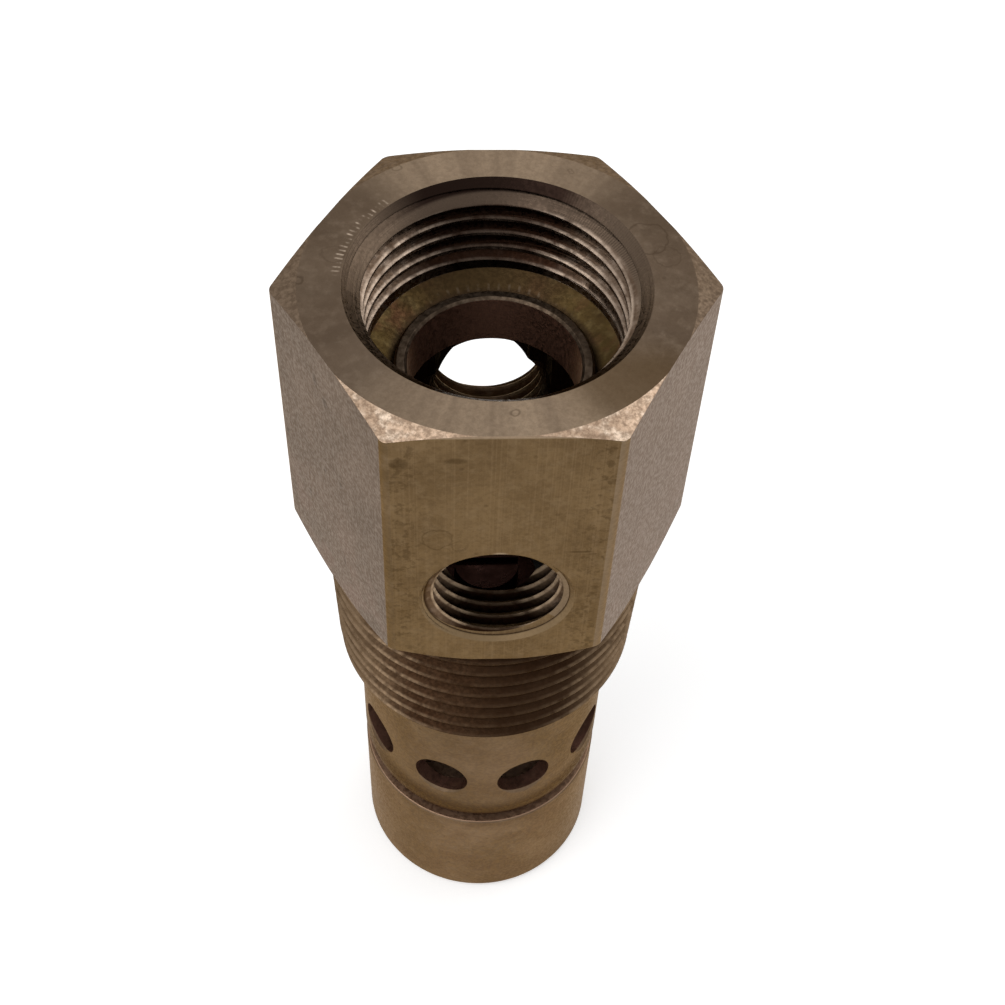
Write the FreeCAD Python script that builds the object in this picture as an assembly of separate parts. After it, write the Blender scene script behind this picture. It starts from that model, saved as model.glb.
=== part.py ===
"""In-tank non-return valve: a hexagonal brass body with a tapped inlet on top, two
side ports, a tank thread below and a skirt with outlet holes. A spring holds a
soft-faced poppet up against a seat ring, and a damping piston on the poppet's stem
slides in the end plug, which the skirt's rolled lip holds.

Millimetres. The origin is the middle of the flat end that the valve stands on,
+Z runs up the axis to the inlet, and the side ports lie along Y."""

import FreeCAD, Part
import math
import os

V = FreeCAD.Vector
UP = V(0, 0, 1)

# Hexagon, drawn bar of 1 3/8 in across flats
across_flats = 34.925
hex_length = 34.2
hex_corner_radius = 0.9
hex_chamfer_beyond_flat = 0.14
hex_top_chamfer_angle = 18.0
hex_bottom_chamfer_angle = 40.0

# Tank thread, 1 in taper pipe thread, as its mean cylinder
tank_thread_radius = 16.5
tank_thread_length = 18.5
tank_thread_lead = 1.5

# Inlet, 3/4 in taper pipe thread, as its drilled cylinder
inlet_radius = 11.9
inlet_depth = 10.3
inlet_countersink_radius = 13.75
inlet_floor_drop = 1.4

# Throat below the inlet, with its raised rim
throat_radius = 8.15
throat_length = 5.6
throat_rim_radius = 9.35
throat_rim_height = 1.0
throat_rim_bevel = 0.25

# Side ports, 1/4 in taper pipe thread, as their drilled cylinders
port_radius = 5.56
port_countersink_radius = 7.25
front_port_below_top = 23.8
back_port_below_top = 26.3

# Bore from below, with the step that the seat ring is pressed against
seat_step_width = 0.3
seat_step_below_thread_top = 6.0

# Seat ring
seat_ring_height = 5.0
seat_ring_width = 4.8
seat_lip_width = 1.2
seat_lip_height = 0.8
seat_lip_bevel = 0.4

# Skirt with the outlet holes
skirt_radius = 14.14
skirt_wall = 1.84
skirt_length = 20.2
outlet_count = 9
outlet_radius = 3.175
outlet_edge_break = 0.3
outlet_first_angle = 18.6
outlet_below_thread = 14.1

# Rolled lip at the skirt's lower end
lip_height = 3.9
lip_roll = 1.24
lip_overhang = 1.2
lip_gap = 0.1

# End plug
plug_flange_height = 18.3
plug_bottom_chamfer = 0.8
plug_floor = 3.5
plug_fit = 0.05
plug_spigot_above_lip = 2.0
plug_spigot_chamfer = 0.4

# Damping piston and its cylinder in the plug
piston_bore_wall = 2.75
piston_clearance = 0.05
poppet_lift = 4.5
piston_stop_gap = 0.1
piston_rim = 1.85
piston_crown = 3.0
piston_below_spigot_top = 3.2
piston_bevel = 0.4

# Poppet head and stem
head_side_gap = 2.1
head_thickness = 2.5
head_rim_height = 1.7
head_bevel = 0.5
stem_radius = 3.5
stem_root_radius = 1.2

# Seal with its washer and screw
seal_rim_width = 0.7
seal_thickness = 3.0
seal_side_gap = 0.1
seal_seat_gap = 0.05
washer_side_gap = 2.0
washer_thickness = 1.0
screw_radius = 2.0
screw_length = 12.0
screw_hole_gap = 0.1
screw_hole_spare = 1.5
screw_head_radius = 3.5
screw_head_height = 2.6
screw_slot_width = 1.0
screw_slot_depth = 1.1

# Spring
spring_wire_radius = 0.45
spring_side_gap = 0.5
spring_turns = 5.5
spring_closed_gap = 0.05

# Radii that follow from the others
hex_sharp_corner = across_flats / math.sqrt(3)
seat_bore_radius = skirt_radius - skirt_wall
chamber_radius = seat_bore_radius - seat_step_width
seat_orifice_radius = seat_bore_radius - seat_ring_width
lip_outer_radius = skirt_radius - lip_roll
lip_inner_radius = seat_bore_radius - lip_overhang
spigot_radius = seat_bore_radius - plug_fit
piston_bore_radius = spigot_radius - piston_bore_wall
piston_radius = piston_bore_radius - piston_clearance
cup_radius = piston_radius - piston_rim
head_radius = seat_bore_radius - head_side_gap
seal_radius = head_radius - seal_rim_width
washer_radius = seat_orifice_radius - washer_side_gap

# Heights from the flat end up
thread_bottom_z = lip_gap + plug_flange_height + lip_height + skirt_length
thread_top_z = thread_bottom_z + tank_thread_length
top_z = thread_top_z + hex_length
lip_bottom_z = plug_flange_height + lip_gap
lip_top_z = lip_bottom_z + lip_height
outlet_z = thread_bottom_z - outlet_below_thread
inlet_floor_z = top_z - inlet_depth
throat_bottom_z = inlet_floor_z - throat_length
seat_step_z = thread_top_z - seat_step_below_thread_top
seat_face_z = seat_step_z - seat_ring_height - seat_lip_height
seal_top_z = seat_face_z - seal_seat_gap
seal_bottom_z = seal_top_z - seal_thickness
head_bottom_z = seal_bottom_z - head_thickness
spigot_top_z = lip_top_z + plug_spigot_above_lip
piston_top_z = spigot_top_z - piston_below_spigot_top
piston_bottom_z = plug_floor + poppet_lift + piston_stop_gap
cup_top_z = piston_top_z - piston_crown


def turned(points):
    """Solid of revolution about Z from (radius, height) points."""
    corners = [V(r, 0, z) for r, z in points]
    outline = Part.makePolygon(corners + corners[:1])
    return Part.Face(outline).revolve(V(0, 0, 0), UP, 360)


def cylinder(radius, bottom, top):
    return Part.makeCylinder(radius, top - bottom, V(0, 0, bottom))


def hexagon_prism():
    """Drawn hexagon bar with flats at front and back and rounded corners."""
    angles = [math.radians(60 * i) for i in range(7)]
    points = [V(hex_sharp_corner * math.cos(a), hex_sharp_corner * math.sin(a), thread_top_z)
              for a in angles]
    prism = Part.Face(Part.makePolygon(points)).extrude(UP * hex_length)
    uprights = [e for e in prism.Edges if abs(e.tangentAt(e.FirstParameter).z) > 0.9]
    return prism.makeFillet(hex_corner_radius, uprights)


def hexagon_chamfers():
    """Turned outline that takes off the hexagon's corners at both ends."""
    start = across_flats / 2 + hex_chamfer_beyond_flat
    reach = hex_sharp_corner - start
    top_drop = reach * math.tan(math.radians(hex_top_chamfer_angle))
    bottom_rise = reach * math.tan(math.radians(hex_bottom_chamfer_angle))
    return turned([(0, thread_top_z), (start, thread_top_z),
                   (hex_sharp_corner, thread_top_z + bottom_rise),
                   (hex_sharp_corner, top_z - top_drop),
                   (start, top_z), (0, top_z)])


def skirt_and_thread():
    """Turned outside below the hexagon: rolled lip, skirt and tank thread."""
    half_step = skirt_radius - lip_outer_radius
    bend = (half_step ** 2 + lip_height ** 2) / (2 * half_step)
    bend_x = skirt_radius - bend
    half_angle = math.asin(lip_height / bend) / 2
    bend_middle = V(bend_x + bend * math.cos(half_angle), 0, lip_top_z - bend * math.sin(half_angle))
    lip_end = V(lip_outer_radius, 0, lip_bottom_z)
    lip_start = V(skirt_radius, 0, lip_top_z)
    lead_radius = tank_thread_radius - tank_thread_lead
    rest = [lip_start,
            V(skirt_radius, 0, thread_bottom_z),
            V(lead_radius, 0, thread_bottom_z),
            V(tank_thread_radius, 0, thread_bottom_z + tank_thread_lead),
            V(tank_thread_radius, 0, thread_top_z),
            V(0, 0, thread_top_z),
            V(0, 0, lip_bottom_z),
            lip_end]
    edges = [Part.Arc(lip_end, bend_middle, lip_start).toShape()]
    edges += [Part.makeLine(a, b) for a, b in zip(rest, rest[1:])]
    outline = Part.Wire(Part.__sortEdges__(edges))
    return Part.Face(outline).revolve(V(0, 0, 0), UP, 360)


def body_bore():
    """Everything turned out of the body, from the inlet down to the rolled lip."""
    over = 1.0
    countersink_depth = inlet_countersink_radius - inlet_radius
    rim_top = inlet_floor_z
    floor_edge = rim_top - throat_rim_height
    return turned([
        (0, top_z + over),
        (inlet_countersink_radius + over, top_z + over),
        (inlet_radius, top_z - countersink_depth),
        (inlet_radius, floor_edge + inlet_floor_drop),
        (throat_rim_radius, floor_edge),
        (throat_rim_radius, rim_top - throat_rim_bevel),
        (throat_rim_radius - throat_rim_bevel, rim_top),
        (throat_radius + throat_rim_bevel, rim_top),
        (throat_radius, rim_top - throat_rim_bevel),
        (throat_radius, throat_bottom_z),
        (chamber_radius, throat_bottom_z),
        (chamber_radius, seat_step_z),
        (seat_bore_radius, seat_step_z),
        (seat_bore_radius, lip_top_z),
        (lip_inner_radius, lip_bottom_z),
        (lip_inner_radius, lip_bottom_z - over),
        (0, lip_bottom_z - over),
    ])


def side_port(side, below_top):
    """Drilled and countersunk side port. side is -1 at the front and 1 at the back."""
    face = across_flats / 2
    depth = port_countersink_radius - port_radius
    over = 1.0
    axis = V(0, side, 0)
    centre = V(0, 0, top_z - below_top)
    start = centre + axis * (chamber_radius / 2)
    hole = Part.makeCylinder(port_radius, face + over - chamber_radius / 2, start, axis)
    mouth = Part.makeCone(port_radius, port_countersink_radius + over, depth + over,
                          centre + axis * (face - depth), axis)
    return hole.fuse(mouth)


def outlet_hole(angle):
    """One radial outlet hole with its broken outer edge."""
    axis = V(math.sin(math.radians(angle)), -math.cos(math.radians(angle)), 0)
    middle = V(0, 0, outlet_z)
    inner = seat_bore_radius - 1.0
    over = 1.0
    hole = Part.makeCylinder(outlet_radius, skirt_radius + over - inner, middle + axis * inner, axis)
    break_start = skirt_radius - outlet_edge_break
    edge = Part.makeCone(outlet_radius, outlet_radius + outlet_edge_break + over,
                         outlet_edge_break + over, middle + axis * break_start, axis)
    return hole.fuse(edge)


def valve_body():
    outside = hexagon_prism().common(hexagon_chamfers()).fuse(skirt_and_thread())
    cuts = [side_port(-1, front_port_below_top), side_port(1, back_port_below_top)]
    spacing = 360 / outlet_count
    cuts += [outlet_hole(outlet_first_angle + spacing * i) for i in range(outlet_count)]
    return outside.cut(body_bore()).cut(cuts).removeSplitter()


def seat_ring():
    """Ring pressed up against the step in the bore, with its seat lip below."""
    bottom = seat_step_z - seat_ring_height
    lip_radius = seat_orifice_radius + seat_lip_width
    return turned([
        (seat_orifice_radius, seat_face_z),
        (lip_radius - seat_lip_bevel, seat_face_z),
        (lip_radius, seat_face_z + seat_lip_bevel),
        (lip_radius, bottom),
        (seat_bore_radius, bottom),
        (seat_bore_radius, seat_step_z),
        (seat_orifice_radius, seat_step_z),
    ])


def end_plug():
    """Plug with the piston's cylinder, a waist for the rolled lip and a spigot above it."""
    waist_radius = lip_inner_radius - plug_fit
    return turned([
        (0, 0),
        (skirt_radius - plug_bottom_chamfer, 0),
        (skirt_radius, plug_bottom_chamfer),
        (skirt_radius, plug_flange_height),
        (waist_radius, plug_flange_height),
        (waist_radius, lip_bottom_z),
        (spigot_radius, lip_top_z),
        (spigot_radius, spigot_top_z - plug_spigot_chamfer),
        (spigot_radius - plug_spigot_chamfer, spigot_top_z),
        (piston_bore_radius + plug_spigot_chamfer, spigot_top_z),
        (piston_bore_radius, spigot_top_z - plug_spigot_chamfer),
        (piston_bore_radius, plug_floor),
        (0, plug_floor),
    ])


def poppet():
    """Head with the seal's pocket, stem and cupped damping piston, turned in one piece."""
    pocket_radius = seal_radius + seal_side_gap
    screw_hole_bottom = seal_top_z + washer_thickness - screw_length - screw_hole_spare
    screw_hole_radius = screw_radius + screw_hole_gap
    return turned([
        (screw_hole_radius, screw_hole_bottom),
        (screw_hole_radius, seal_bottom_z),
        (pocket_radius, seal_bottom_z),
        (pocket_radius, seal_bottom_z + head_rim_height),
        (head_radius, seal_bottom_z + head_rim_height),
        (head_radius, head_bottom_z + head_bevel),
        (head_radius - head_bevel, head_bottom_z),
        (stem_radius + stem_root_radius, head_bottom_z),
        (stem_radius, head_bottom_z - stem_root_radius),
        (stem_radius, piston_top_z),
        (piston_radius - piston_bevel, piston_top_z),
        (piston_radius, piston_top_z - piston_bevel),
        (piston_radius, piston_bottom_z + piston_bevel),
        (piston_radius - piston_bevel, piston_bottom_z),
        (cup_radius, piston_bottom_z),
        (cup_radius, cup_top_z),
        (0, cup_top_z),
        (0, screw_hole_bottom),
    ])


def seal_disc():
    """Flat rubber disc in the poppet's pocket."""
    disc = cylinder(seal_radius, seal_bottom_z, seal_top_z)
    return disc.cut(cylinder(screw_radius + screw_hole_gap, seal_bottom_z, seal_top_z))


def seal_washer():
    top = seal_top_z + washer_thickness
    disc = cylinder(washer_radius, seal_top_z, top)
    return disc.cut(cylinder(screw_radius + screw_hole_gap, seal_top_z, top))


def seal_screw():
    """Slotted cheese-head screw that clamps the washer and the seal to the poppet."""
    under_head = seal_top_z + washer_thickness
    head_top = under_head + screw_head_height
    shank = cylinder(screw_radius, under_head - screw_length, under_head)
    head = cylinder(screw_head_radius, under_head, head_top)
    slot = Part.makeBox(2 * screw_head_radius, screw_slot_width, screw_slot_depth,
                        V(-screw_head_radius, -screw_slot_width / 2, head_top - screw_slot_depth))
    return shank.fuse(head).cut(slot).removeSplitter()


def arc_in_corner(start, corner, end):
    """Arc from start to end, touching the two equal lines that meet at corner."""
    half_turn = (corner - start).getAngle(end - corner) / 2
    weight = math.cos(half_turn)
    middle = (start + corner * (2 * weight) + end) * (0.5 / (1 + weight))
    return Part.Arc(start, middle, end).toShape()


def smooth_arcs(start, start_way, end, end_way):
    """Two arcs from start to end that join smoothly and keep the way at each end."""
    chord = end - start
    ways = start_way + end_way
    along = chord.dot(ways)
    spread = 4 - ways.dot(ways)
    reach = (math.sqrt(along ** 2 + spread * chord.dot(chord)) - along) / spread
    first_corner = start + start_way * reach
    second_corner = end - end_way * reach
    join = (first_corner + second_corner) * 0.5
    return [arc_in_corner(start, first_corner, join), arc_in_corner(join, second_corner, end)]


def spring():
    """Compression spring with a closed turn at each end, its wire bent along smooth arcs."""
    coil_radius = cup_radius - spring_side_gap - spring_wire_radius
    closed_rise = 2 * spring_wire_radius + spring_closed_gap
    open_rise = cup_top_z - plug_floor - 2 * spring_wire_radius - 2 * closed_rise
    open_pitch = open_rise / (spring_turns - 2)

    def centre(turn):
        angle = 2 * math.pi * turn
        rise = closed_rise * turn
        rise += (open_pitch - closed_rise) * min(max(turn - 1, 0), spring_turns - 2)
        return V(coil_radius * math.cos(angle), coil_radius * math.sin(angle),
                 plug_floor + spring_wire_radius + rise)

    def way(turn):
        angle = 2 * math.pi * turn
        near = 1 / 8
        pitch = (centre(turn + near).z - centre(turn - near).z) / (2 * near)
        around = V(-math.sin(angle), math.cos(angle), 0) * (2 * math.pi * coil_radius)
        return (around + UP * pitch).normalize()

    steps = round(2 * spring_turns)
    turns = [spring_turns * i / steps for i in range(steps + 1)]
    path = []
    for a, b in zip(turns, turns[1:]):
        path += smooth_arcs(centre(a), way(a), centre(b), way(b))
    section = Part.Wire(Part.makeCircle(spring_wire_radius, centre(0), way(0)))
    return Part.Wire(path).makePipeShell([section], True, True)


PIECES = {
    "valve_body": valve_body,
    "seat_ring": seat_ring,
    "end_plug": end_plug,
    "poppet": poppet,
    "seal_disc": seal_disc,
    "seal_washer": seal_washer,
    "seal_screw": seal_screw,
    "spring": spring,
}

os.makedirs("parts", exist_ok=True)
for name, make in PIECES.items():
    shape = make()
    shape.exportStep("parts/" + name + ".step")
    print(name, "solids", len(shape.Solids), "valid", shape.isValid(), "volume", round(shape.Volume, 1))
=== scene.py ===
import math

import bmesh
import bpy
from mathutils import Matrix, Vector


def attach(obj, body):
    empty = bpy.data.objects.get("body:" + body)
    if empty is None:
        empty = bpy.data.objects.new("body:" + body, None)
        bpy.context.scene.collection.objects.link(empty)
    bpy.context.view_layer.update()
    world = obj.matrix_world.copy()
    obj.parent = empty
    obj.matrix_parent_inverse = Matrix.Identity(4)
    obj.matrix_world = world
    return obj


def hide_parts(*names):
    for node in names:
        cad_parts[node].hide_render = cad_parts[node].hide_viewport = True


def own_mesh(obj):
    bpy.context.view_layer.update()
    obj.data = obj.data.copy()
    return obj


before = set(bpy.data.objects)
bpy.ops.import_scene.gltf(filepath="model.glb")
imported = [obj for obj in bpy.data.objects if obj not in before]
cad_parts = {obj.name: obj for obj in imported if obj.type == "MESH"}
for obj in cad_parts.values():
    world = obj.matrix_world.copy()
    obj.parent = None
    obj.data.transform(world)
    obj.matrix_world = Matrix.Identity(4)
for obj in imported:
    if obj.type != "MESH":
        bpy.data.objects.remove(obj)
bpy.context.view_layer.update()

# Camera in front of the valve and above it, looking down into the inlet at 53 degrees
# and leaning a little to one side.
camera = bpy.data.objects.new("camera", bpy.data.cameras.new("camera"))
camera.data.lens = 57.98
camera.data.sensor_width = 36.0
camera.data.clip_start = 0.01
camera_way = (Matrix.Rotation(math.radians(-4.452), 4, "Z")
              @ Matrix.Rotation(math.radians(90 - 52.757), 4, "X")
              @ Matrix.Rotation(math.radians(2.977), 4, "Z"))
camera.matrix_world = Matrix.Translation((-0.006455, -0.100928, 0.196434)) @ camera_way
bpy.context.scene.collection.objects.link(camera)
bpy.context.scene.camera = camera

# Valve body, one piece of drawn hexagon brass. Each form is modelled as a closed solid
# in millimetres, then joined to the rest or cut out of it, as the lathe and the taps do.
across_flats = 34.925
flat_face = across_flats / 2
sharp_corner = across_flats / math.sqrt(3)
corner_round = 0.52
top_z = 95.2
thread_top_z = 61.0


def solid(name, bm):
    """Puts a closed bmesh into the scene as an object, its faces outward."""
    bmesh.ops.remove_doubles(bm, verts=bm.verts, dist=0.0005)
    bmesh.ops.recalc_face_normals(bm, faces=bm.faces)
    mesh = bpy.data.meshes.new(name)
    bm.to_mesh(mesh)
    bm.free()
    made = bpy.data.objects.new(name, mesh)
    bpy.context.scene.collection.objects.link(made)
    return made


def turned(name, outline, steps=240):
    """Solid spun about Z from (radius, height) points. Its outline starts and ends on the axis."""
    bm = bmesh.new()
    points = [bm.verts.new((r, 0, z)) for r, z in outline]
    lines = [bm.edges.new(pair) for pair in zip(points, points[1:])]
    bmesh.ops.spin(bm, geom=points + lines, cent=(0, 0, 0), axis=(0, 0, 1), angle=2 * math.pi,
                   steps=steps, use_merge=True)
    return solid(name, bm)


def combine(piece, tool, operation):
    """Joins the tool to the piece, keeps what they share, or cuts it out. The tool is used up."""
    step = piece.modifiers.new(tool.name, "BOOLEAN")
    step.operation = operation
    step.solver = "MANIFOLD"
    step.object = tool
    bpy.context.view_layer.update()
    depsgraph = bpy.context.evaluated_depsgraph_get()
    result = bpy.data.meshes.new_from_object(piece.evaluated_get(depsgraph))
    piece.modifiers.remove(step)
    piece.data = result
    bpy.data.objects.remove(tool)


bm = bmesh.new()
bmesh.ops.create_circle(bm, cap_ends=True, segments=6, radius=sharp_corner)
bmesh.ops.rotate(bm, verts=bm.verts, cent=(0, 0, 0),
                 matrix=Matrix.Rotation(math.radians(30), 3, "Z"))
bmesh.ops.translate(bm, verts=bm.verts, vec=(0, 0, thread_top_z))
risen = bmesh.ops.extrude_face_region(bm, geom=bm.faces[:])
bmesh.ops.translate(bm, verts=[v for v in risen["geom"] if isinstance(v, bmesh.types.BMVert)],
                    vec=(0, 0, top_z - thread_top_z))
corners = [e for e in bm.edges if abs(e.verts[0].co.z - e.verts[1].co.z) > 1]
bmesh.ops.bevel(bm, geom=corners, offset=corner_round, affect="EDGES", segments=8,
                profile=0.5, material=-1)
body = solid("brass_body", bm)

top_chamfer_angle = 18
bottom_chamfer_angle = 40
chamfer_start = flat_face + 0.14
chamfer_reach = sharp_corner + 0.5 - chamfer_start
top_drop = chamfer_reach * math.tan(math.radians(top_chamfer_angle))
bottom_rise = chamfer_reach * math.tan(math.radians(bottom_chamfer_angle))
combine(body, turned("chamfers", [
    (0, thread_top_z), (chamfer_start, thread_top_z),
    (chamfer_start + chamfer_reach, thread_top_z + bottom_rise),
    (chamfer_start + chamfer_reach, top_z - top_drop),
    (chamfer_start, top_z), (0, top_z)]), "INTERSECT")

# Tank thread, 1 in taper pipe thread, 11 1/2 turns to the inch, cut on the body with a die
# or a chaser from the skirt up to the hexagon. Its radius grows by 1 mm in 32 mm of height.
tank_pitch = 2.209
tank_crest_radius = 16.87
tank_phase = 150
thread_bottom_z = 42.5
taper_rise = 32


def thread(name, outer, pitch, low, high, phase, taper_from):
    """Closed taper thread about Z. One pitch of it is spun up the axis and cut flat at both ends.
    outer is its greatest radius at the height taper_from, and phase turns it, in degrees."""
    depth = 0.8 * pitch
    flank = depth * math.tan(math.radians(30))
    flat = (pitch - 2 * flank) / 2
    root = outer - depth
    steps = 120
    rounds = math.ceil((high - low) / pitch) + 2
    bm = bmesh.new()
    points = [bm.verts.new(at) for at in (
        (root, 0, 0), (outer - 0.12 * depth, 0, 0.88 * flank), (outer, 0, flank + 0.2 * flat),
        (outer, 0, flank + 0.8 * flat), (outer - 0.12 * depth, 0, 1.12 * flank + flat),
        (root, 0, 2 * flank + flat), (root, 0, pitch))]
    lines = [bm.edges.new(pair) for pair in zip(points, points[1:])]
    bmesh.ops.translate(bm, verts=points, vec=(0, 0, low - 1.5 * pitch))
    bmesh.ops.spin(bm, geom=points + lines, cent=(0, 0, 0), axis=(0, 0, 1),
                   dvec=(0, 0, pitch / steps), angle=2 * math.pi * rounds, steps=steps * rounds)
    bmesh.ops.remove_doubles(bm, verts=bm.verts, dist=0.002)
    bmesh.ops.rotate(bm, verts=bm.verts, cent=(0, 0, 0),
                     matrix=Matrix.Rotation(math.radians(phase), 3, "Z"))
    for v in bm.verts:
        radius = math.hypot(v.co.x, v.co.y)
        wider = 1 + (v.co.z - taper_from) / (taper_rise * radius)
        v.co.x *= wider
        v.co.y *= wider
    for height, side in ((low, -1), (high, 1)):
        cut = bmesh.ops.bisect_plane(bm, geom=bm.verts[:] + bm.edges[:] + bm.faces[:],
                                     plane_co=(0, 0, height), plane_no=(0, 0, side),
                                     clear_outer=True, dist=0.0001)
        rim = [e for e in cut["geom_cut"] if isinstance(e, bmesh.types.BMEdge)]
        bmesh.ops.edgeloop_fill(bm, edges=rim)
    return solid(name, bm)


tank_thread = thread("tank_thread", tank_crest_radius, tank_pitch, thread_bottom_z,
                     thread_top_z + 0.4, tank_phase, thread_top_z)
combine(tank_thread, turned("thread_lead", [
    (0, thread_bottom_z - 1), (14.9, thread_bottom_z - 1), (17.4, thread_bottom_z + 1.5),
    (17.4, thread_top_z + 2), (0, thread_top_z + 2)]), "INTERSECT")
combine(body, tank_thread, "UNION")

# Skirt below the thread, with nine drilled outlet holes. Its lower end is rolled in
# behind the end plug's flange, which leaves the soft-edged groove.
skirt_radius = 14.14
lip_top_z = 22.3
lip_bottom_z = 18.4
lip_radius = 12.9
lip_step = skirt_radius - lip_radius
lip_bend = (lip_step ** 2 + (lip_top_z - lip_bottom_z) ** 2) / (2 * lip_step)
lip_angle = math.asin((lip_top_z - lip_bottom_z) / lip_bend)
lip_curve = [(skirt_radius - lip_bend + lip_bend * math.cos(lip_angle * s / 10),
              lip_top_z - lip_bend * math.sin(lip_angle * s / 10)) for s in range(10, -1, -1)]
skirt = turned("skirt", [(0, lip_bottom_z)] + lip_curve
               + [(skirt_radius, thread_bottom_z + 0.5), (0, thread_bottom_z + 0.5)])
combine(body, skirt, "UNION")

# Bore, turned out from both ends: countersunk inlet, coned floor with a raised rim round
# the throat, the wide chamber, the seat ring's step and the lip's mouth.
inlet_radius = 11.9
inlet_mouth_radius = 13.75
throat_radius = 8.15
throat_rim_z = 84.9
throat_end_z = 79.3
chamber_radius = 12.0
seat_bore_radius = 12.3
seat_stop_z = 55.0
lip_bore_radius = 11.1
combine(body, turned("bore", [
    (0, top_z + 1), (inlet_mouth_radius + 1, top_z + 1), (inlet_radius, 93.35),
    (inlet_radius, 85.3), (9.35, 83.9), (9.35, 84.65), (9.1, throat_rim_z),
    (8.4, throat_rim_z), (throat_radius, 84.65), (throat_radius, throat_end_z),
    (chamber_radius, throat_end_z), (chamber_radius, seat_stop_z),
    (seat_bore_radius, seat_stop_z), (seat_bore_radius, lip_top_z),
    (lip_bore_radius, lip_bottom_z), (lip_bore_radius, lip_bottom_z - 1),
    (0, lip_bottom_z - 1)]), "DIFFERENCE")

# Inlet thread, 3/4 in taper pipe thread, 14 turns to the inch, tapped from the top.
inlet_pitch = 1.814
inlet_root_radius = 13.28
inlet_phase = -80
inlet_thread = thread("inlet_thread", inlet_root_radius, inlet_pitch, 86.2, top_z + 0.6,
                      inlet_phase, top_z)
combine(inlet_thread, turned("tap_lead", [
    (0, 85.5), (11.6, 85.5), (14.2, 89.5), (14.2, top_z + 2), (0, top_z + 2)]), "INTERSECT")
combine(body, inlet_thread, "DIFFERENCE")

# Two side ports, 1/4 in taper pipe thread, 18 turns to the inch, countersunk and tapped
# into the front and back flats. The back one sits a little lower.
port_pitch = 1.411
port_drill_radius = 5.56
port_crest_radius = 5.97
port_root_radius = 7.1
port_rim_radius = 6.75
port_phase = -90
port_heights = {"front": 71.4, "back": 68.9}
for side, height in port_heights.items():
    into_flat = (Matrix.Translation((0, 0, height))
                 @ Matrix.Rotation(math.radians(90 if side == "front" else -90), 4, "X"))
    drill = turned("drill_" + side, [
        (0, 6), (port_drill_radius, 6), (port_drill_radius, flat_face - 0.55),
        (port_rim_radius, flat_face - 0.5), (port_rim_radius + 1.5, flat_face + 1),
        (0, flat_face + 1)], 96)
    tap = thread("tap_" + side, port_root_radius, port_pitch, 9.0, flat_face + 0.5,
                 port_phase, flat_face)
    for tool in (drill, tap):
        tool.data.transform(into_flat)
        combine(body, tool, "DIFFERENCE")

# Outlet holes for the air, nine of them, drilled square into the skirt at even steps, each
# with its outer edge broken at 45 degrees.
outlet_count = 9
outlet_radius = 3.175
outlet_z = 28.4
first_outlet = 18.6
for hole in range(outlet_count):
    angle = math.radians(first_outlet + 360 / outlet_count * hole)
    drill = turned("outlet_drill", [
        (0, 11.3), (outlet_radius, 11.3), (outlet_radius, skirt_radius - 0.3),
        (4.2, skirt_radius + 0.725), (0, skirt_radius + 0.725)], 64)
    drill.data.transform(Matrix.Translation((0, 0, outlet_z)) @ Matrix.Rotation(angle, 4, "Z")
                         @ Matrix.Rotation(math.radians(90), 4, "X"))
    combine(body, drill, "DIFFERENCE")


# Brass finishes. Every one is the same bare, aged brass: patches of tarnish, fine cutting
# lines the way the tool went, small pits and specks, and edges rounded a little in the shading.
def node(tree, kind, settings=None, **inputs):
    """Adds a node, sets its own settings and sets or links its inputs."""
    made = tree.nodes.new(kind)
    for name, value in (settings or {}).items():
        setattr(made, name, value)
    for name, value in inputs.items():
        socket = made.inputs[int(name[1:])] if name[1:].isdigit() else made.inputs[name]
        if isinstance(value, bpy.types.NodeSocket):
            tree.links.new(value, socket)
        else:
            socket.default_value = value
    return made


def place(tree, scale=(1, 1, 1), centre=(0, 0, 0)):
    """Object coordinates in millimetres from a centre, each stretched by its scale."""
    coordinates = node(tree, "ShaderNodeTexCoord")
    return node(tree, "ShaderNodeMapping", i0=coordinates.outputs["Object"],
                i1=[-c * s for c, s in zip(centre, scale)],
                i3=[1000 * s for s in scale]).outputs[0]


def ramp(tree, value, low, high, to_low=0.0, to_high=1.0):
    """A value eased from low..high to to_low..to_high."""
    return node(tree, "ShaderNodeMapRange", {"interpolation_type": "SMOOTHSTEP"},
                i0=value, i1=low, i2=high, i3=to_low, i4=to_high).outputs[0]


def noise(tree, where, scale, low, high, detail=4.0, rough=0.55):
    """Soft noise, clipped and stretched from low..high to 0..1."""
    cloud = node(tree, "ShaderNodeTexNoise", Vector=where, Scale=scale, Detail=detail,
                 Roughness=rough)
    return ramp(tree, cloud.outputs["Fac"], low, high)


def math_of(tree, operation, a, b=0.0, c=0.0):
    """One step of arithmetic on up to three values."""
    return node(tree, "ShaderNodeMath", {"operation": operation}, i0=a, i1=b, i2=c).outputs[0]


def times(tree, a, b):
    """Two values multiplied."""
    return math_of(tree, "MULTIPLY", a, b)


def band(tree, value, start, full, fading, gone):
    """1 where the value lies from full to fading, eased to 0 at start and at gone."""
    return times(tree, ramp(tree, value, start, full), ramp(tree, value, fading, gone, 1.0, 0.0))


def blend(tree, share, a, b):
    """Colour a, turning into colour b by the share."""
    made = node(tree, "ShaderNodeMix", {"data_type": "RGBA"}, i0=share)
    for socket, colour in ((made.inputs[6], a), (made.inputs[7], b)):
        if isinstance(colour, bpy.types.NodeSocket):
            tree.links.new(colour, socket)
        else:
            socket.default_value = (*colour, 1)
    return made.outputs[2]


def distance_from(tree, centre, scale):
    """Distance from a centre, in millimetres times the scale. A scale of 0 leaves a way out."""
    return node(tree, "ShaderNodeVectorMath", {"operation": "LENGTH"},
                i0=place(tree, scale, centre)).outputs["Value"]


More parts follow.
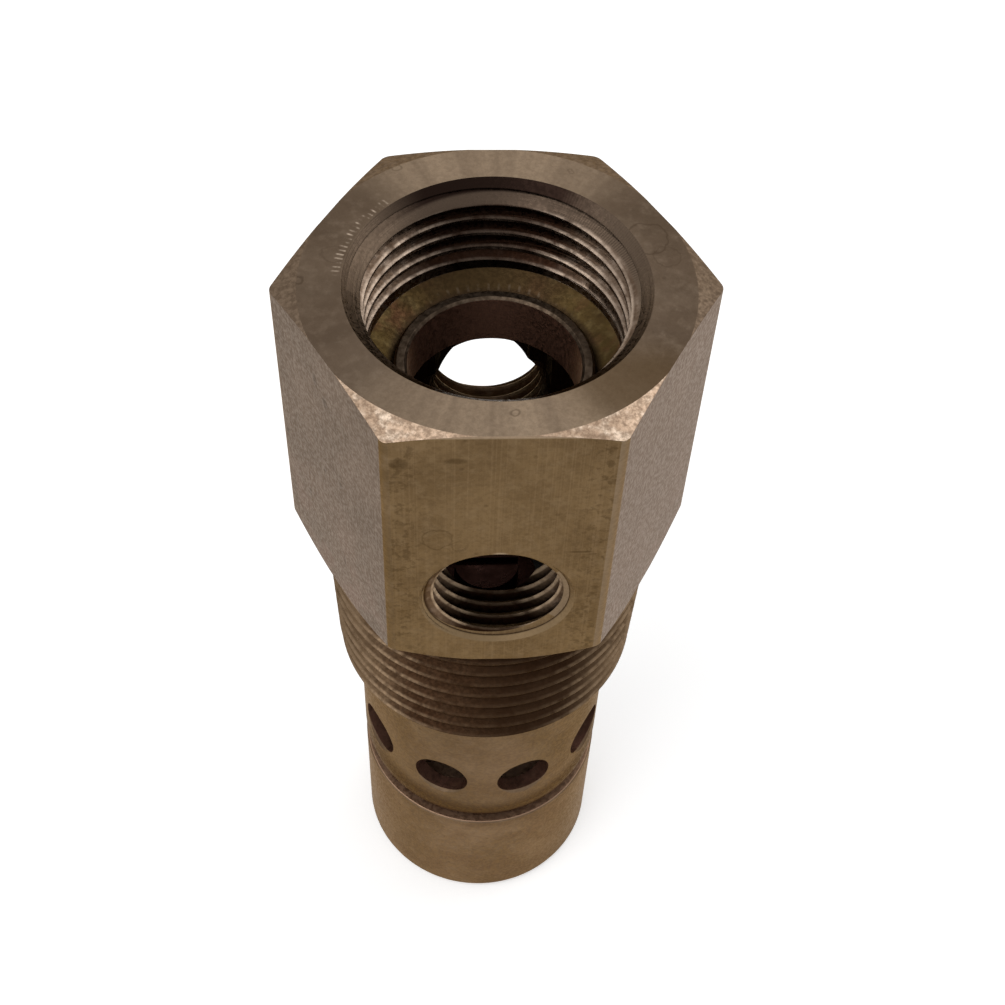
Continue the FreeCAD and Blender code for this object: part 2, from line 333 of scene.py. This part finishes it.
def part_of(tree, vector, index):
    """The X (0), Y (1) or Z (2) part of a position or a direction."""
    return node(tree, "ShaderNodeSeparateXYZ", i0=vector).outputs[index]


def coordinate(tree, index):
    """Where a point lies along X (0), Y (1) or Z (2), in millimetres."""
    return part_of(tree, place(tree), index)


def way_out(tree, scale=(1, 1, 0), centre=(0, 0, 0)):
    """Direction from the valve's axis, or from another one, to a point."""
    return node(tree, "ShaderNodeVectorMath", {"operation": "NORMALIZE"},
                i0=place(tree, scale, centre)).outputs[0]


def sideways(tree, scale=(1, 1, 0), centre=(0, 0, 0)):
    """1 on the left and right of an axis, and 0 where the way out has no part along X."""
    return math_of(tree, "ABSOLUTE", part_of(tree, way_out(tree, scale, centre), 0))


def turn_round(tree):
    """How far round the axis a point lies, in radians from the right towards the back."""
    return math_of(tree, "ARCTAN2", coordinate(tree, 1), coordinate(tree, 0))


def by_height(tree, low, high, to_low=0.0, to_high=1.0):
    """A value eased from to_low at the height low to to_high at the height high."""
    return ramp(tree, coordinate(tree, 2), low, high, to_low, to_high)


def stain(tree, colour, dark, centre, half_sizes):
    """A small dark mark or scratch, an oval with those half sizes."""
    far = distance_from(tree, centre, [1 / s for s in half_sizes])
    return blend(tree, ramp(tree, far, 0.35, 1.0, 0.6, 0.0), colour, dark)


def dried_ring(tree, colour, dark, centre, scale, radius, width, strength):
    """The thin ring that a dried droplet leaves, not quite round."""
    wobble = noise(tree, place(tree), 0.7, 0.3, 0.7, 2)
    far = math_of(tree, "ADD", distance_from(tree, centre, scale), times(tree, wobble, 0.35))
    off = math_of(tree, "ABSOLUTE", math_of(tree, "SUBTRACT", far, radius + 0.17))
    return blend(tree, ramp(tree, off, 0.0, width, strength, 0.0), colour, dark)


def aged_brass(name, tone, deep, light, lines, lines_strength, specks, rough=(0.36, 0.55),
               pits=0.3, edge_tint=(0.78, 0.62, 0.46), over=None):
    """Aged brass. tone, deep and light are its colours, lines the stretch of its cutting
    lines, specks the share of light mottling, edge_tint what it shows at a glancing look,
    and over adds to the colour what only this face has."""
    finish = bpy.data.materials.new(name)
    finish.use_nodes = True
    tree = finish.node_tree
    shader = tree.nodes["Principled BSDF"]
    here = place(tree)
    colour = blend(tree, noise(tree, here, 0.16, 0.36, 0.64), tone, deep)
    mottle = noise(tree, here, 0.9, 0.45, 0.72, 6)
    colour = blend(tree, times(tree, mottle, specks), colour, light)
    cutting = noise(tree, place(tree, lines), 1.0, 0.3, 0.7, 3, 0.6)
    colour = blend(tree, times(tree, cutting, 0.5 * lines_strength), colour, deep)
    holes = node(tree, "ShaderNodeTexVoronoi", Vector=here, Scale=0.42, Randomness=1.0)
    pit = ramp(tree, holes.outputs["Distance"], 0.05, 0.13, pits, 0.0)
    colour = blend(tree, pit, colour, (deep[0] * 0.35, deep[1] * 0.3, deep[2] * 0.28))
    if over:
        colour = over(tree, colour)
    tree.links.new(colour, shader.inputs["Base Color"])
    shader.inputs["Metallic"].default_value = 1.0
    shader.inputs["Specular Tint"].default_value = (*edge_tint, 1)
    grain = noise(tree, here, 2.6, 0.3, 0.7, 5)
    tree.links.new(ramp(tree, grain, 0.0, 1.0, *rough), shader.inputs["Roughness"])
    edge = node(tree, "ShaderNodeBevel", {"samples": 4}, Radius=0.00010)
    relief = math_of(tree, "ADD", times(tree, cutting, lines_strength), times(tree, grain, 0.35))
    relief = math_of(tree, "SUBTRACT", relief, times(tree, pit, 1.5))
    bump = node(tree, "ShaderNodeBump", Strength=0.5, Distance=0.00004, Height=relief,
                Normal=edge.outputs["Normal"])
    tree.links.new(bump.outputs["Normal"], shader.inputs["Normal"])
    return finish


def front_marks(tree, colour):
    """Front flat: speckled left edge, bright drawn lines on the right, a droplet's ring."""
    dark = (0.050, 0.030, 0.014)
    drawn = noise(tree, place(tree, (7.0, 0.1, 0.02)), 1.0, 0.52, 0.66, 2)
    colour = blend(tree, times(tree, drawn, 0.16), colour, (0.225, 0.152, 0.085))
    sides = ramp(tree, distance_from(tree, (0, 0, 0), (1, 0, 0)), 5.5, 9.0)
    rough_patch = noise(tree, place(tree), 1.3, 0.5, 0.66, 6)
    colour = blend(tree, times(tree, times(tree, sides, rough_patch), 0.4), colour, dark)
    colour = dried_ring(tree, colour, dark, (-5.5, 0, 81.0), (1, 0, 1), 1.35, 0.18, 0.4)
    colour = dried_ring(tree, colour, dark, (-3.6, 0, 79.9), (1, 0, 1), 0.7, 0.16, 0.25)
    colour = blend(tree, by_height(tree, 94.75, 95.0, 0.0, 0.7), colour, (0.330, 0.245, 0.170))
    colour = stain(tree, colour, (0.360, 0.280, 0.195), (0.1, -17.4, 78.6), (0.9, 3, 0.4))
    colour = stain(tree, colour, dark, (7.2, -17.4, 78.9), (1.5, 3, 0.22))
    colour = stain(tree, colour, dark, (-8.7, -17.4, 91.6), (1.2, 3, 1.0))
    return stain(tree, colour, dark, (-4.0, -17.4, 92.0), (1.4, 3, 0.5))


def side_marks(tree, colour):
    """Side flats: a few short scratches and nicks, most of them on the left."""
    dark = (0.045, 0.030, 0.020)
    nicks = (((-16.1, -7.2, 90.6), (0.5, 0.5, 1.1)), ((-15.2, -8.6, 89.2), (0.7, 0.7, 0.9)),
             ((-19.6, -0.9, 76.3), (0.4, 0.4, 0.6)), ((-15.8, -7.6, 78.5), (0.3, 0.3, 0.7)),
             ((-17.7, -4.3, 71.0), (0.35, 0.35, 0.9)), ((-14.2, -10.3, 79.6), (0.3, 0.3, 0.5)),
             ((-14.4, -10.0, 67.4), (0.25, 0.25, 1.3)), ((16.4, -6.7, 84.0), (0.3, 0.3, 0.5)))
    for centre, half_sizes in nicks:
        colour = stain(tree, colour, dark, centre, half_sizes)
    lower = by_height(tree, 62.0, 80.0, 0.45, 0.0)
    blush = noise(tree, place(tree), 0.22, 0.45, 0.6)
    colour = blend(tree, times(tree, lower, blush), colour, (0.180, 0.114, 0.086))
    right = ramp(tree, coordinate(tree, 0), -6.0, 10.0, 0.0, 0.55)
    return blend(tree, right, colour, (0.188, 0.131, 0.098))


def faced_marks(tree, colour):
    """Top face: rays of light and dark from the facing cut, a painted reflection that makes it
    lighter at front and back, dried rings and the ticks that a chattering tool left at the inlet's
    rim."""
    dark = (0.060, 0.040, 0.026)
    rays = noise(tree, way_out(tree), 5.0, 0.38, 0.62, 3, 0.6)
    # Painted reflection: the turned face lighter towards front and back.
    front_back_reflection = math_of(tree, "ABSOLUTE", part_of(tree, way_out(tree), 1))
    front_back_reflection = ramp(tree, front_back_reflection, 0.62, 0.97)
    colour = blend(tree, times(tree, front_back_reflection, 0.9), colour, (0.300, 0.222, 0.152))
    colour = blend(tree, times(tree, rays, 0.42), colour, (0.120, 0.084, 0.058))
    fine = noise(tree, place(tree), 2.4, 0.35, 0.65, 6, 0.7)
    colour = blend(tree, times(tree, fine, 0.32), colour, (0.100, 0.070, 0.047))
    browned = distance_from(tree, (11.5, -12.0, 0), (0.12, 0.17, 0))
    colour = blend(tree, ramp(tree, browned, 0.3, 1.1, 0.75, 0.0), colour, (0.088, 0.056, 0.029))
    rings = (((13.7, 5.5), 1.9, 0.6), ((15.3, 3.2), 1.2, 0.35), ((-17.5, 0.4), 0.5, 0.6),
             ((-8.9, 14.9), 0.3, 0.4), ((0.9, -14.9), 0.3, 0.5), ((7.4, 14.3), 0.35, 0.35),
             ((-14.6, 3.6), 1.0, 0.3))
    for centre, radius, strength in rings:
        colour = dried_ring(tree, colour, dark, (*centre, 0), (1, 1, 0), radius, 0.16, strength)
    turn = turn_round(tree)
    ticks = ramp(tree, math_of(tree, "SINE", times(tree, turn, 170.0)), 0.1, 0.9)
    radius = distance_from(tree, (0, 0, 0), (1, 1, 0))
    rim = band(tree, radius, 13.9, 14.0, 14.5, 14.8)
    arc = band(tree, turn, 2.25, 2.4, 3.0, 3.1)
    patchy = noise(tree, place(tree), 0.9, 0.40, 0.66, 4)
    share = times(tree, times(tree, ticks, rim), times(tree, arc, patchy))
    return blend(tree, times(tree, share, 0.85), colour, (0.50, 0.40, 0.31))


def chamfer_marks(tree, colour):
    """Chamfer: coarse bright grain on the two front corners, partly fresh-cut brass and partly
    painted highlight, and dull like the top elsewhere.
    """
    grain = noise(tree, place(tree), 2.0, 0.36, 0.62, 5, 0.7)
    colour = blend(tree, times(tree, grain, 0.70), colour, (0.17, 0.112, 0.072))
    dull = blend(tree, grain, (0.175, 0.126, 0.088), (0.110, 0.077, 0.053))
    # The two front corners keep their bright colour, partly painted highlight; the rest turns
    # dull.
    return blend(tree, ramp(tree, coordinate(tree, 1), -12.0, -4.0), colour, dull)


def corner_marks(tree, colour):
    """Rounded corners: a little lighter on the right, and dull like the sides at the back."""
    right = ramp(tree, coordinate(tree, 0), -4.0, 4.0)
    colour = blend(tree, times(tree, right, 0.75), colour, (0.200, 0.145, 0.095))
    back = ramp(tree, coordinate(tree, 1), -14.0, -6.0, 0.0, 0.8)
    return blend(tree, back, colour, (0.134, 0.094, 0.067))


def drilled(radius, along, start):
    """Radius of a drilled hole's wall. It widens at 45 degrees beyond start, the countersink."""
    def wall(tree):
        reach = math_of(tree, "ABSOLUTE", coordinate(tree, along))
        return math_of(tree, "MAXIMUM", math_of(tree, "SUBTRACT", reach, start), radius)
    return wall


def tank_taper(tree):
    """Radius over the crests of the tank thread, which is greatest below the hexagon."""
    return math_of(tree, "MULTIPLY_ADD", coordinate(tree, 2), 1 / taper_rise,
                   tank_crest_radius - thread_top_z / taper_rise)


def thread_shade_and_highlights(centre, scale, crest, depth, flank, crest_highlight_colour, dull):
    """Painted light in a thread: painted highlights on its crests at the left and right, painted
    shade on its flanks, in its roots and where it faces front or back, or up or down. crest gives
    the radius of the crests, flank the painted shade's colour, and dull the share of lit colour
    left there."""
    def over(tree, colour):
        radius = distance_from(tree, centre, scale)
        side = sideways(tree, scale, centre)
        off_crest = math_of(tree, "SUBTRACT", radius, crest(tree))
        deep = ramp(tree, math_of(tree, "ABSOLUTE", off_crest), 0.0, depth)
        # Painted light and shade: the lit colour at the left and right, painted shade at front and
        # back, and more painted shade in the roots.
        lit = blend(tree, ramp(tree, side, 0.45, 0.9, dull, 1.0), flank, colour)
        lit = blend(tree, ramp(tree, deep, 0.5, 1.0, 0.0, 0.92), lit, flank)
        patchy = noise(tree, place(tree), 0.8, 0.2, 0.65, 3)
        # Painted highlight along the crests, patchy, faint at front and back.
        crest_highlight = times(tree, ramp(tree, deep, 0.0, 0.15, 1.0, 0.0), patchy)
        crest_highlight = times(tree, crest_highlight, ramp(tree, side, 0.25, 0.75, 0.1, 1.0))
        return blend(tree, crest_highlight, lit, crest_highlight_colour)
    return over


def inlet_marks(tree, colour):
    """Inlet thread: painted shade at the back, painted highlights on the crests at the sides, a
    dull countersink lighter at its left and right as painted light, with fine ribs on the right."""
    crest = drilled(inlet_radius, 2, top_z - inlet_mouth_radius)
    colour = thread_shade_and_highlights((0, 0, 0), (1, 1, 0), crest, 1.3, (0.011, 0.004, 0.002),
                          (0.400, 0.310, 0.240), 0.04)(tree, colour)
    turn = turn_round(tree)
    ribs = ramp(tree, math_of(tree, "SINE", times(tree, turn, 300.0)), -0.6, 0.9)
    right = band(tree, turn, 0.05, 0.25, 0.95, 1.1)
    upper = by_height(tree, 94.0, 94.2)
    sink = blend(tree, upper, (0.066, 0.046, 0.033), (0.014, 0.008, 0.006))
    # Painted light: the countersink lighter at its left and right.
    sides = ramp(tree, sideways(tree), 0.45, 0.95)
    sink = blend(tree, times(tree, sides, 0.7), sink, (0.140, 0.100, 0.070))
    ribbed = times(tree, times(tree, ribs, right), ramp(tree, upper, 0.0, 1.0, 0.7, 0.25))
    sink = blend(tree, ribbed, sink, (0.055, 0.038, 0.028))
    return blend(tree, by_height(tree, 93.3, 93.5), colour, sink)


def floor_marks(tree, colour):
    """Inlet floor: an olive cone, brown at front and back, with short ticks where the tool
    stopped, and a dull raised rim round the throat with a dark foot."""
    radius = distance_from(tree, (0, 0, 0), (1, 1, 0))
    red = noise(tree, place(tree), 0.35, 0.5, 0.7)
    colour = blend(tree, times(tree, red, 0.6), colour, (0.110, 0.048, 0.026))
    middle = ramp(tree, sideways(tree), 0.4, 0.9, 1.0, 0.0)
    colour = blend(tree, times(tree, middle, 0.85), colour, (0.040, 0.024, 0.011))
    foot = band(tree, radius, 9.3, 9.5, 9.8, 10.3)
    colour = blend(tree, times(tree, foot, 0.7), colour, (0.030, 0.018, 0.010))
    turn = turn_round(tree)
    ticks = ramp(tree, math_of(tree, "SINE", times(tree, turn, 64.0)), 0.5, 0.95, 0.0, 0.6)
    ring = band(tree, radius, 9.9, 10.0, 10.4, 10.6)
    patchy = noise(tree, place(tree), 0.5, 0.42, 0.6, 3)
    share = times(tree, times(tree, ticks, ring), times(tree, patchy, middle))
    colour = blend(tree, share, colour, (0.085, 0.060, 0.038))
    rough_rim = noise(tree, place(tree), 1.6, 0.3, 0.7, 5)
    rim = blend(tree, rough_rim, (0.052, 0.035, 0.023), (0.115, 0.083, 0.058))
    return blend(tree, ramp(tree, radius, 9.4, 9.2), colour, rim)


def skirt_tone_and_lip_shade(tree, colour):
    """Skirt: uneven tone, and painted shade over the rolled lip above the plug, reaching higher at
    the left and right and darkest at its lower edge.
    """
    uneven = noise(tree, place(tree, (0.12, 0.12, 0.05)), 1.0, 0.3, 0.7, 2)
    colour = blend(tree, times(tree, uneven, 0.25), colour, (0.175, 0.108, 0.072))
    # Painted shade over the rolled lip, reaching higher at the left and right.
    side = sideways(tree)
    height = math_of(tree, "MULTIPLY_ADD", times(tree, side, side), -2.8, coordinate(tree, 2))
    share = ramp(tree, height, 21.4, 24.6, 1.0, 0.0)
    return blend(tree, times(tree, share, 0.92), colour, (0.050, 0.029, 0.019))


def port_marks(side, flank, crest_highlight_colour, dull):
    """Side port: its thread with painted shade and painted highlights, and a rubbed rim round the
    mouth.
    """
    centre = (0, 0, port_heights[side])
    crest = drilled(port_crest_radius, 1, flat_face - port_crest_radius)
    grime = thread_shade_and_highlights(centre, (1, 0, 1), crest, 1.0, flank, crest_highlight_colour, dull)

    def over(tree, colour):
        rim = ramp(tree, distance_from(tree, centre, (1, 0, 1)), port_rim_radius, 6.9)
        return blend(tree, rim, grime(tree, colour), (0.180, 0.122, 0.066))
    return over


def bore_marks(tree, colour):
    """Bore: brown throat and outlet holes, and painted shade, near black, in the chamber behind
    the ports.
    """
    # Painted shade: the chamber near black.
    chamber_shade = band(tree, coordinate(tree, 2), 42.0, 48.0, 76.0, throat_end_z)
    colour = blend(tree, times(tree, chamber_shade, 0.9), colour, (0.020, 0.009, 0.005))
    return blend(tree, by_height(tree, 79.25, 79.35, 0.0, 0.85), colour, (0.190, 0.098, 0.064))


upright = (3.2, 3.2, 0.05)
round_the_axis = (0.04, 0.04, 5.0)
body_finishes = {
    "front_flat": aged_brass("front_flat", (0.152, 0.099, 0.050), (0.116, 0.074, 0.037),
                             (0.210, 0.147, 0.084), upright, 0.7, 0.3, over=front_marks),
    "side_flat": aged_brass("side_flat", (0.126, 0.087, 0.061), (0.102, 0.070, 0.048),
                            (0.168, 0.120, 0.087), upright, 0.5, 0.3,
                            edge_tint=(0.90, 0.83, 0.76), over=side_marks),
    "corner": aged_brass("corner", (0.145, 0.096, 0.052), (0.108, 0.070, 0.036),
                         (0.205, 0.145, 0.088), upright, 0.5, 0.4, over=corner_marks),
    "faced_top": aged_brass("faced_top", (0.130, 0.094, 0.066), (0.090, 0.063, 0.043),
                            (0.215, 0.162, 0.118), (0.6, 0.6, 0.6), 0.3, 0.4, over=faced_marks),
    "chamfer": aged_brass("chamfer", (0.62, 0.455, 0.330), (0.45, 0.320, 0.225),
                          (0.98, 0.820, 0.660), (0.8, 0.8, 3.0), 0.4, 0.7, rough=(0.4, 0.6),
                          over=chamfer_marks),
    "underside": aged_brass("underside", (0.110, 0.072, 0.038), (0.070, 0.044, 0.022),
                            (0.170, 0.115, 0.066), round_the_axis, 0.4, 0.4),
    # Tank thread: painted shade in its roots and at front and back, painted highlights on its
    # crests at the left and right.
    "tank_thread": aged_brass("tank_thread", (0.130, 0.084, 0.048), (0.080, 0.050, 0.028),
                              (0.200, 0.140, 0.088), round_the_axis, 0.4, 0.35,
                              over=thread_shade_and_highlights((0, 0, 0), (1, 1, 0), tank_taper, 1.4,
                                                (0.018, 0.007, 0.003),
                                                (0.190, 0.130, 0.080), 0.12)),
    "skirt": aged_brass("skirt", (0.150, 0.103, 0.062), (0.112, 0.074, 0.043),
                        (0.200, 0.145, 0.095), round_the_axis, 0.3, 0.3, over=skirt_tone_and_lip_shade),
    "inlet_thread": aged_brass("inlet_thread", (0.150, 0.105, 0.075), (0.090, 0.058, 0.038),
                               (0.360, 0.280, 0.220), round_the_axis, 0.5, 0.5, rough=(0.25, 0.45),
                               over=inlet_marks),
    "inlet_floor": aged_brass("inlet_floor", (0.086, 0.056, 0.020), (0.048, 0.028, 0.012),
                              (0.160, 0.115, 0.050), (0.6, 0.6, 0.6), 0.3, 0.5, over=floor_marks),
    "bore": aged_brass("bore", (0.120, 0.060, 0.042), (0.075, 0.036, 0.024),
                       (0.170, 0.100, 0.062), round_the_axis, 0.3, 0.3, rough=(0.5, 0.7),
                       over=bore_marks),
    # Side ports: threads with painted shade and painted highlights; the back one's painted shade
    # is much lighter.
    "front_port": aged_brass("front_port", (0.150, 0.098, 0.060), (0.090, 0.054, 0.032),
                             (0.300, 0.220, 0.160), (1, 1, 1), 0.3, 0.4, over=port_marks(
                                 "front", (0.010, 0.003, 0.001), (0.400, 0.290, 0.190), 0.03)),
    "back_port": aged_brass("back_port", (0.150, 0.098, 0.060), (0.090, 0.054, 0.032),
                            (0.300, 0.220, 0.160), (1, 1, 1), 0.3, 0.4, over=port_marks(
                                "back", (0.120, 0.086, 0.046), (0.300, 0.225, 0.140), 0.9)),
}


def body_region(centre, normal):
    """Which finish a face of the body has, from where it is and which way it faces."""
    radius = math.hypot(centre.x, centre.y)
    outward = centre.x * normal.x + centre.y * normal.y
    if centre.z > thread_top_z + 0.01:
        for side, level in port_heights.items():
            near = math.hypot(centre.x, centre.z - level) < 7.4 and abs(centre.y) > 10
            if near and abs(normal.y) < 0.98 and (centre.y < 0) == (side == "front"):
                return side + "_port"
        if outward > 0 and radius > 15:
            if normal.z < -0.1:
                return "underside"
            if normal.z > 0.1:
                return "chamfer" if normal.z < 0.99 else "faced_top"
            turn = math.degrees(math.atan2(normal.y, normal.x)) % 60
            if abs(turn - 30) > 2:
                return "corner"
            return "front_flat" if normal.y < -0.9 else "side_flat"
        if normal.z > 0.99 and centre.z > 95:
            return "faced_top"
        if centre.z > 85.4:
            return "inlet_thread"
        return "inlet_floor" if centre.z > 83.8 and normal.z > 0.1 else "bore"
    if centre.z > thread_bottom_z - 0.01 and radius > 14.2:
        return "tank_thread"
    return "skirt" if outward > 0 and radius > 12.85 else "bore"


def finish_mesh(piece, sharp_angle, flat_faces=lambda face: False):
    """Smooth-shades a solid but for its sharp edges and the rims of its flat faces, and
    takes it from millimetres to metres."""
    bm = bmesh.new()
    bm.from_mesh(piece.data)
    for face in bm.faces:
        face.smooth = True
    for edge in bm.edges:
        faces = edge.link_faces
        turn = edge.calc_face_angle(0.0)
        edge.smooth = turn < math.radians(sharp_angle) and not (
            turn > 0.01 and any(flat_faces(face) for face in faces))
    bmesh.ops.scale(bm, verts=bm.verts, vec=(0.001, 0.001, 0.001))
    bm.to_mesh(piece.data)
    bm.free()


slots = {name: number for number, name in enumerate(body_finishes)}
body.data.materials.clear()
for finish in body_finishes.values():
    body.data.materials.append(finish)
for face in body.data.polygons:
    face.material_index = slots[body_region(face.center, face.normal)]
finish_mesh(body, 28, lambda face: face.material_index in (
    slots["front_flat"], slots["side_flat"], slots["faced_top"]) and face.calc_area() > 4)
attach(body, "housing")
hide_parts("valve_body")

# End plug, turned from brass bar: a plain flange below, a waist that the rolled lip
# grips, and above it the bored cylinder of the damping piston.
flange_top_z = 18.3
plug_top_z = 24.3
plug_bore_radius = 9.5
plug_floor_z = 3.5
plug = turned("brass_plug", [
    (0, 0), (13.34, 0), (13.75, 0.25), (14.02, 0.55), (skirt_radius, 0.95),
    (skirt_radius, 18.12), (13.96, flange_top_z), (11.05, flange_top_z), (11.05, lip_bottom_z),
    (12.25, lip_top_z), (12.25, 23.9), (11.85, plug_top_z), (9.9, plug_top_z),
    (plug_bore_radius, 23.9), (plug_bore_radius, plug_floor_z), (0, plug_floor_z)])


def plug_marks(tree, colour):
    """Plug: broad dull patches where it was gripped, painted shade just below the groove, and
    painted light from the flange's top up.
    """
    gripped = noise(tree, place(tree, (1, 1, 2.2)), 0.11, 0.50, 0.56, 2)
    colour = blend(tree, times(tree, gripped, 0.4), colour, (0.120, 0.075, 0.048))
    # Painted shade darkening the flange towards the groove.
    colour = blend(tree, by_height(tree, 16.5, 18.1, 0.0, 0.2), colour, (0.060, 0.036, 0.020))
    # Painted light: lighter from the flange's top up.
    return blend(tree, by_height(tree, 18.2, 18.29), colour, (0.300, 0.190, 0.125))


plug.data.materials.append(aged_brass(
    "plug_brass", (0.180, 0.121, 0.076), (0.140, 0.093, 0.057), (0.240, 0.173, 0.116),
    round_the_axis, 0.25, 0.35, over=plug_marks))
finish_mesh(plug, 30)
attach(plug, "housing")
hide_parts("end_plug")

# Spring, wound from steel wire, with a closed turn at each end. It stands on the plug's
# floor and pushes the piston up.
spring_length = 14.6
wire_radius = 0.45
coil_radius = 6.65
closed_rise = 0.95
open_turns = 3.5
open_rise = spring_length - 2 * wire_radius - 2 * closed_rise
bm = bmesh.new()
bmesh.ops.create_circle(bm, segments=16, radius=wire_radius)
bmesh.ops.rotate(bm, verts=bm.verts, cent=(0, 0, 0),
                 matrix=Matrix.Rotation(math.radians(90), 3, "X"))
bmesh.ops.translate(bm, verts=bm.verts, vec=(coil_radius, 0, plug_floor_z + wire_radius))
end = bm.verts[:] + bm.edges[:]
bmesh.ops.edgeloop_fill(bm, edges=bm.edges[:])
for turns, rise in ((1, closed_rise), (open_turns, open_rise), (1, closed_rise)):
    steps = round(72 * turns)
    coil = bmesh.ops.spin(bm, geom=end, cent=(0, 0, 0), axis=(0, 0, 1), dvec=(0, 0, rise / steps),
                          angle=2 * math.pi * turns, steps=steps)
    end = coil["geom_last"]
bmesh.ops.edgeloop_fill(bm, edges=[e for e in end if isinstance(e, bmesh.types.BMEdge)])
spring = solid("coil_spring", bm)


def steel(name, tone, deep, lines):
    """Bright steel with fine lines and a little dullness in patches."""
    finish = bpy.data.materials.new(name)
    finish.use_nodes = True
    tree = finish.node_tree
    shader = tree.nodes["Principled BSDF"]
    here = place(tree)
    worn = noise(tree, here, 0.4, 0.35, 0.65)
    drawn = noise(tree, place(tree, lines), 1.0, 0.3, 0.7, 3)
    colour = blend(tree, worn, tone, deep)
    tree.links.new(blend(tree, times(tree, drawn, 0.3), colour, deep), shader.inputs["Base Color"])
    shader.inputs["Metallic"].default_value = 1.0
    tree.links.new(ramp(tree, worn, 0.0, 1.0, 0.25, 0.42), shader.inputs["Roughness"])
    bump = node(tree, "ShaderNodeBump", Strength=0.3, Distance=0.00002, Height=drawn)
    tree.links.new(bump.outputs["Normal"], shader.inputs["Normal"])
    return finish


spring.data.materials.append(steel(
    "spring_steel", (0.52, 0.51, 0.49), (0.30, 0.29, 0.28), (2.5, 2.5, 9)))
finish_mesh(spring, 40)
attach(spring, "housing")
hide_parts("spring")
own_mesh(spring)


# Seat ring, poppet, seal, washer and screw are plain turned parts inside the body, so
# they stay as they are and get their metal and rubber.
def dress(part, finish):
    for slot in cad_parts[part].material_slots:
        slot.material = finish


inner_brass = aged_brass("inner_brass", (0.160, 0.102, 0.050), (0.090, 0.053, 0.026),
                         (0.240, 0.165, 0.090), round_the_axis, 0.5, 0.3, pits=0.1)
dress("seat_ring", inner_brass)
dress("poppet", inner_brass)
# Washer and screw: steel darkened to near black, painted shade for the inside of the body.
shaded_inner_steel = steel("shaded_inner_steel", (0.075, 0.036, 0.028), (0.036, 0.016, 0.012), (3, 3, 3))
dress("seal_washer", shaded_inner_steel)
dress("seal_screw", shaded_inner_steel)

rubber = bpy.data.materials.new("black_rubber")
rubber.use_nodes = True
tree = rubber.node_tree
shader = tree.nodes["Principled BSDF"]
bloom = noise(tree, place(tree), 0.5, 0.35, 0.7)
rubber_tone = blend(tree, bloom, (0.016, 0.015, 0.015), (0.034, 0.032, 0.031))
tree.links.new(rubber_tone, shader.inputs["Base Color"])
tree.links.new(ramp(tree, bloom, 0.0, 1.0, 0.5, 0.68), shader.inputs["Roughness"])
bump = node(tree, "ShaderNodeBump", Strength=0.25, Distance=0.00003,
            Height=noise(tree, place(tree), 4.0, 0.2, 0.8))
tree.links.new(bump.outputs["Normal"], shader.inputs["Normal"])
dress("seal_disc", rubber)

# Pale floor that the valve stands on. It shows white to the camera and in the metal, and
# it keeps the valve's own soft shadow.
bm = bmesh.new()
bmesh.ops.create_circle(bm, cap_ends=True, segments=96, radius=2.0)
bmesh.ops.translate(bm, verts=bm.verts, vec=(0, 0, -0.00002))
floor = bpy.data.objects.new("floor", bpy.data.meshes.new("floor"))
bm.to_mesh(floor.data)
bm.free()
bpy.context.scene.collection.objects.link(floor)
paper = bpy.data.materials.new("floor_white")
paper.use_nodes = True
shader = paper.node_tree.nodes["Principled BSDF"]
shader.inputs["Base Color"].default_value = (0.92, 0.92, 0.92, 1)
shader.inputs["Roughness"].default_value = 0.9
shader.inputs["Emission Color"].default_value = (1, 1, 1, 1)


def seen(tree):
    """1 where the camera, a gloss or a see-through looks, and 0 for other light."""
    path = node(tree, "ShaderNodeLightPath")
    direct = math_of(tree, "MAXIMUM", path.outputs["Is Camera Ray"], path.outputs["Is Glossy Ray"])
    return math_of(tree, "MAXIMUM", direct, path.outputs["Is Transmission Ray"])


paper.node_tree.links.new(times(paper.node_tree, seen(paper.node_tree), 0.4),
                          shader.inputs["Emission Strength"])
floor.data.materials.append(paper)

# Studio light: an even white surround and two large soft lamps, one from the upper left
# in front and one from the right behind.
world = bpy.data.worlds.new("studio")
bpy.context.scene.world = world
world.use_nodes = True
tree = world.node_tree
surround = tree.nodes["Background"]
surround.inputs["Color"].default_value = (1, 1, 1, 1)
tree.links.new(ramp(tree, seen(tree), 0.0, 1.0, 0.55, 1.0), surround.inputs["Strength"])
for name, at, size, power in (("lamp_left", (-0.35, -0.25, 0.55), 0.60, 1.6),
                              ("lamp_right", (0.40, 0.25, 0.50), 0.60, 0.8)):
    lamp = bpy.data.objects.new(name, bpy.data.lights.new(name, "AREA"))
    lamp.data.shape = "DISK"
    lamp.data.size = size
    lamp.data.energy = power
    way = Vector((0, 0, 0.06)) - Vector(at)
    lamp.matrix_world = Matrix.Translation(at) @ way.to_track_quat("-Z", "Y").to_matrix().to_4x4()
    bpy.context.scene.collection.objects.link(lamp)

bpy.context.scene.view_settings.view_transform = "Standard"
